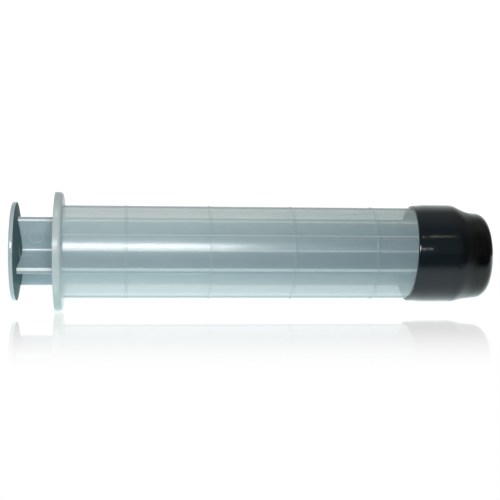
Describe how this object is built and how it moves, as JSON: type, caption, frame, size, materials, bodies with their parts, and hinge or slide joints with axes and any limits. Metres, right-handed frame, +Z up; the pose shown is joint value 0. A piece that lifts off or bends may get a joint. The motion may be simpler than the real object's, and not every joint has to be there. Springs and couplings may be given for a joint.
{
  "type": "meat injector",
  "caption": "Hand-held meat injector: clear graduated barrel with finger flange, ribbed plunger, rubber piston seal, plate of short hollow needles and soft pull-off cap.",
  "frame": {"origin": "on the barrel's axis, at the rear face of the finger flange", "axes": "+X along the barrel towards the needles, +Z up as the injector lies on a table"},
  "size_m": [0.192, 0.0476, 0.0476],
  "materials": {
    "barrel_plastic": "clear, slightly blue-grey, polished",
    "plunger_plastic": "clear, blue-grey, faintly matt",
    "needle_steel": "drawn stainless steel",
    "seal_rubber": "smooth black rubber",
    "cap_vinyl": "soft black vinyl, satin"
  },
  "bodies": {
    "barrel": {"barrel": "barrel_plastic", "needle_plate": "barrel_plastic", "needle_01": "needle_steel", "needle_02": "needle_steel", "needle_03": "needle_steel", "needle_04": "needle_steel", "needle_05": "needle_steel", "needle_06": "needle_steel", "needle_07": "needle_steel", "needle_08": "needle_steel", "needle_09": "needle_steel", "needle_10": "needle_steel", "needle_11": "needle_steel", "needle_12": "needle_steel", "needle_13": "needle_steel", "needle_14": "needle_steel", "needle_15": "needle_steel", "needle_16": "needle_steel"},
    "seal": {"piston_seal": "seal_rubber"},
    "plunger": {"plunger_rod": "plunger_plastic"},
    "cap": {"protective_cap": "cap_vinyl"}
  },
  "joints": [
    {"name": "plunger_slide", "type": "slide", "parent": "barrel", "child": "seal", "axis": [-1, 0, 0], "range_m": [0, 0.145]},
    {"name": "plunger_spin", "type": "hinge", "parent": "seal", "child": "plunger", "pos_m": [0.1508, 0, 0], "axis": [1, 0, 0], "continuous": true},
    {"name": "cap_pull", "type": "slide", "parent": "barrel", "child": "cap", "axis": [1, 0, 0], "range_m": [0, 0.045]}
  ]
}
